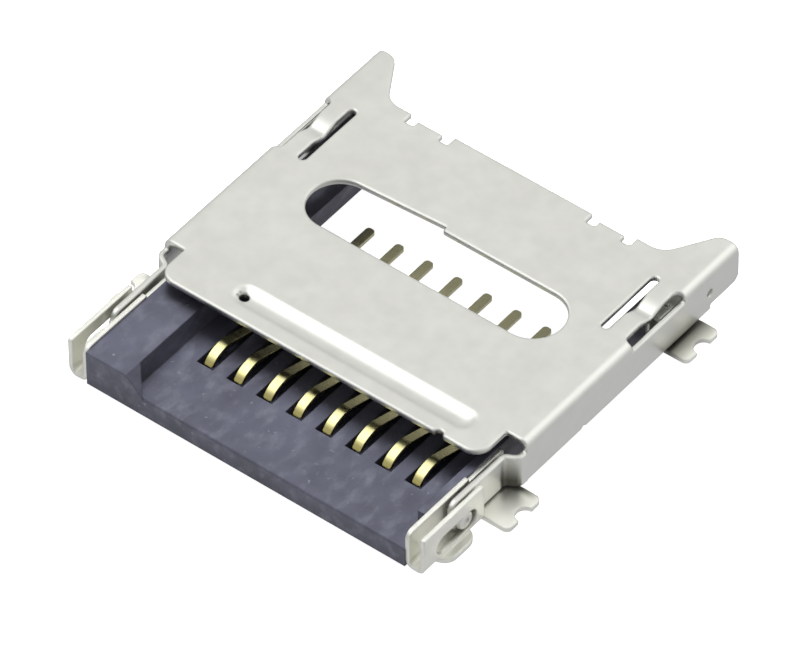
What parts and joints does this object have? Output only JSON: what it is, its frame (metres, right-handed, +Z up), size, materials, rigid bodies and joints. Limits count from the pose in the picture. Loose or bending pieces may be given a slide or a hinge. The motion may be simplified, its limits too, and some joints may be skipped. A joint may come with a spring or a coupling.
{
  "type": "memory card connector",
  "caption": "Hinged surface-mount connector that clamps a small memory card under a sliding, locking sheet-metal cover onto a row of spring contacts.",
  "frame": {"origin": "centre of the bounding box in plan, at board level", "axes": "+X to the right along the contact row, +Y from the contact end to the end where the card goes in, +Z up from the board"},
  "size_m": [0.015, 0.0148, 0.0018],
  "materials": {
    "base_plastic": "satin, slightly scuffed moulded polymer",
    "contact_gold": "gold-plated spring strip",
    "cover_steel": "satin stainless sheet",
    "bracket_steel": "tinned sheet",
    "pin_steel": "satin"
  },
  "bodies": {
    "base": {"base_housing": "base_plastic", "contact_1": "contact_gold", "contact_2": "contact_gold", "contact_3": "contact_gold", "contact_4": "contact_gold", "contact_5": "contact_gold", "contact_6": "contact_gold", "contact_7": "contact_gold", "contact_8": "contact_gold", "front_bracket_left": "bracket_steel", "front_bracket_right": "bracket_steel", "rear_bracket_left": "bracket_steel", "rear_bracket_right": "bracket_steel"},
    "pins": {"pivot_pin_left": "pin_steel", "pivot_pin_right": "pin_steel"},
    "cover": {"cover_shell": "cover_steel"}
  },
  "joints": [
    {"name": "cover_slide", "type": "slide", "parent": "base", "child": "pins", "axis": [0, -1, 0], "range_m": [0, 0.0011]},
    {"name": "cover_hinge", "type": "hinge", "parent": "pins", "child": "cover", "pos_m": [0, -0.0053, 0.0006], "axis": [1, 0, 0], "range_deg": [0, 88]}
  ]
}
